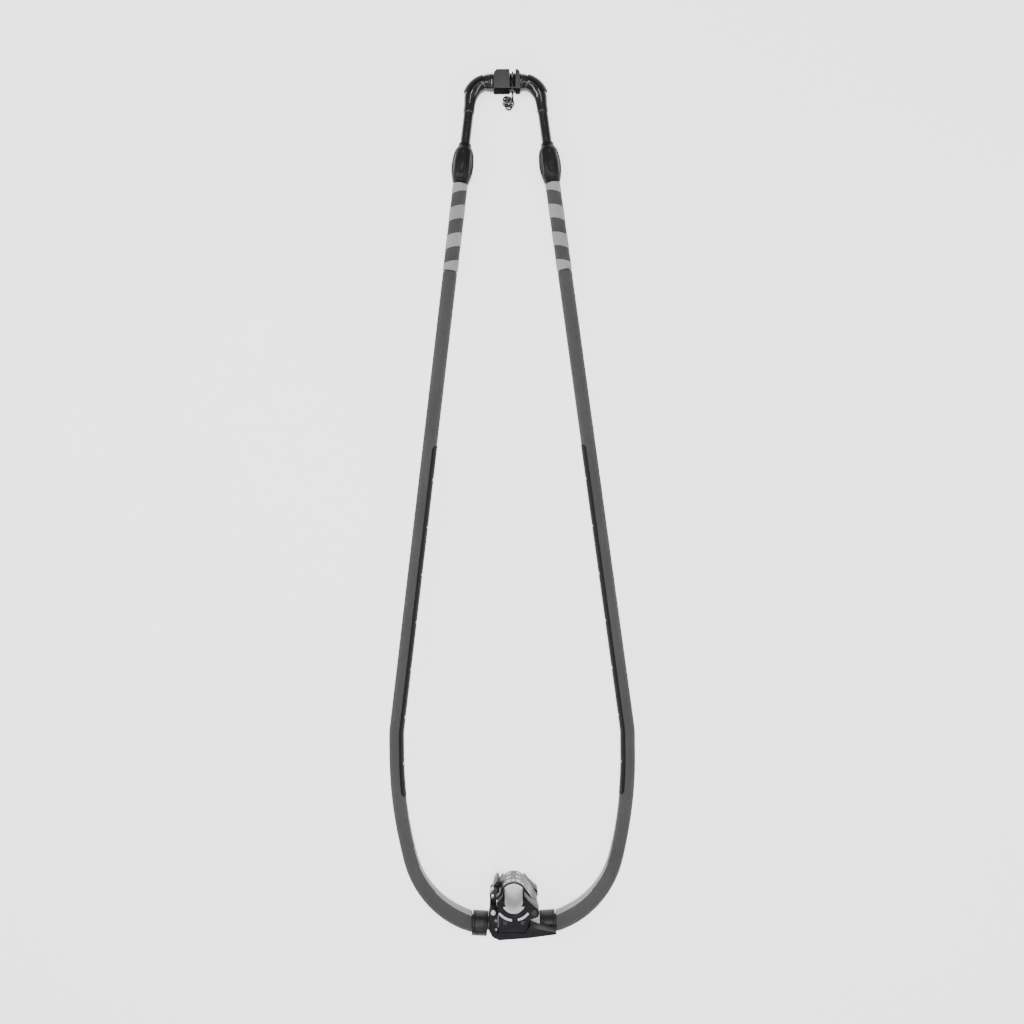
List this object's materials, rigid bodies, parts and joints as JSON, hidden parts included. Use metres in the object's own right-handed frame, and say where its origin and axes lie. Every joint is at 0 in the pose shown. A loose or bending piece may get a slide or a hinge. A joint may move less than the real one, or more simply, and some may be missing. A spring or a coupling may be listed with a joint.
{
  "type": "windsurfing wishbone boom",
  "caption": "Wishbone boom with a lever-clamp mast head, bent foam-grip arms, twist locks and an extending tail with an outhaul line.",
  "frame": {"origin": "on the mast's axis, at the middle of the clamp head's height", "axes": "+Z along the mast, +Y from the mast to the tail, +X across the boom"},
  "size_m": [0.516, 1.8103, 0.124],
  "materials": {
    "dark_alloy": "dark anodised alloy tube, satin",
    "grip_foam": "dark grey EVA foam grip with a fine pebbled texture",
    "striped_foam": "light grey foam with slanted dark grey bands",
    "pad_rubber": "smooth black rubber pad with notches every 100 mm",
    "cuff_rubber": "black moulded rubber, satin",
    "black_plastic": "black glass-filled nylon",
    "shell_plastic": "bluish black moulded nylon",
    "light_plastic": "light grey moulded plastic",
    "steel": "brushed stainless steel",
    "strap_nylon": "grey flexible nylon with punched openings",
    "leg_gloss": "black glossy carbon tube and moulded corners",
    "housing_plastic": "dark grey moulded nylon",
    "line_rope": "black braided line with white flecks"
  },
  "bodies": {
    "boom": {"front_tube": "dark_alloy", "left_arm_bend": "dark_alloy", "right_arm_bend": "dark_alloy", "left_arm_tube": "dark_alloy", "right_arm_tube": "dark_alloy", "left_grip": "grip_foam", "right_grip": "grip_foam", "left_harness_pad": "pad_rubber", "right_harness_pad": "pad_rubber", "left_rear_grip": "striped_foam", "right_rear_grip": "striped_foam", "left_cuff": "cuff_rubber", "right_cuff": "cuff_rubber", "left_lock_base": "black_plastic", "right_lock_base": "black_plastic", "left_collet": "light_plastic", "right_collet": "light_plastic"},
    "left_lock": {"left_lock_nut": "black_plastic", "left_seal_ring": "cuff_rubber"},
    "right_lock": {"right_lock_nut": "black_plastic", "right_seal_ring": "cuff_rubber"},
    "head": {"head_core": "light_plastic", "upper_shell": "shell_plastic", "lower_shell": "shell_plastic", "mast_insert": "light_plastic", "inlay_arcs": "light_plastic", "lug_pin": "steel", "lever_pin": "steel", "front_bushes": "light_plastic", "shell_bolts": "steel"},
    "lever": {"lever": "shell_plastic", "lever_rivets": "steel", "link_pin": "steel"},
    "link": {"link_plates": "steel"},
    "strap": {"strap_band": "strap_nylon", "strap_lug": "shell_plastic", "strap_pad": "strap_nylon", "buckle": "shell_plastic", "strap_rivets": "steel"},
    "tail": {"left_leg": "leg_gloss", "right_leg": "leg_gloss", "left_corner": "leg_gloss", "right_corner": "leg_gloss", "left_bumper": "leg_gloss", "right_bumper": "leg_gloss", "cross_tube": "dark_alloy", "tail_housing": "housing_plastic", "tail_cheek": "housing_plastic", "tail_spacers": "black_plastic", "tail_screws": "steel", "cleat": "steel", "outhaul_line": "line_rope", "line_hank": "line_rope"},
    "roller": {"line_roller": "black_plastic"}
  },
  "joints": [
    {"name": "head_tilt", "type": "hinge", "parent": "boom", "child": "head", "pos_m": [0, -0.0697, 0], "axis": [1, 0, 0], "range_deg": [-12, 12]},
    {"name": "lever_swing", "type": "hinge", "parent": "head", "child": "lever", "pos_m": [-0.043, -0.004, 0], "axis": [0, 0, -1], "range_deg": [0, 135]},
    {"name": "link_swing", "type": "hinge", "parent": "lever", "child": "link", "pos_m": [-0.042, -0.022, 0], "axis": [0, 0, 1], "range_deg": [0, 88.2]},
    {"name": "strap_swing", "type": "hinge", "parent": "head", "child": "strap", "pos_m": [0.042, -0.022, 0], "axis": [0, 0, -1], "range_deg": [0, 12]},
    {"name": "left_lock_twist", "type": "hinge", "parent": "boom", "child": "left_lock", "pos_m": [-0.09124, 1.52525, 0], "axis": [0.1262, 0.992, 0], "range_deg": [0, 120]},
    {"name": "right_lock_twist", "type": "hinge", "parent": "boom", "child": "right_lock", "pos_m": [0.09124, 1.52525, 0], "axis": [-0.1262, 0.992, 0], "range_deg": [0, 120]},
    {"name": "tail_slide", "type": "slide", "parent": "boom", "child": "tail", "axis": [0, 1, 0], "range_m": [-0.03, 0.33], "deforming": ["left_leg", "right_leg"]},
    {"name": "roller_spin", "type": "hinge", "parent": "tail", "child": "roller", "pos_m": [0.015, 1.694, 0], "axis": [1, 0, 0], "continuous": true}
  ],
  "couplings": [
    {"joint": "link_swing", "follows": "lever_swing", "ratio": 0.65324},
    {"joint": "strap_swing", "follows": "lever_swing", "ratio": 0.0886}
  ]
}
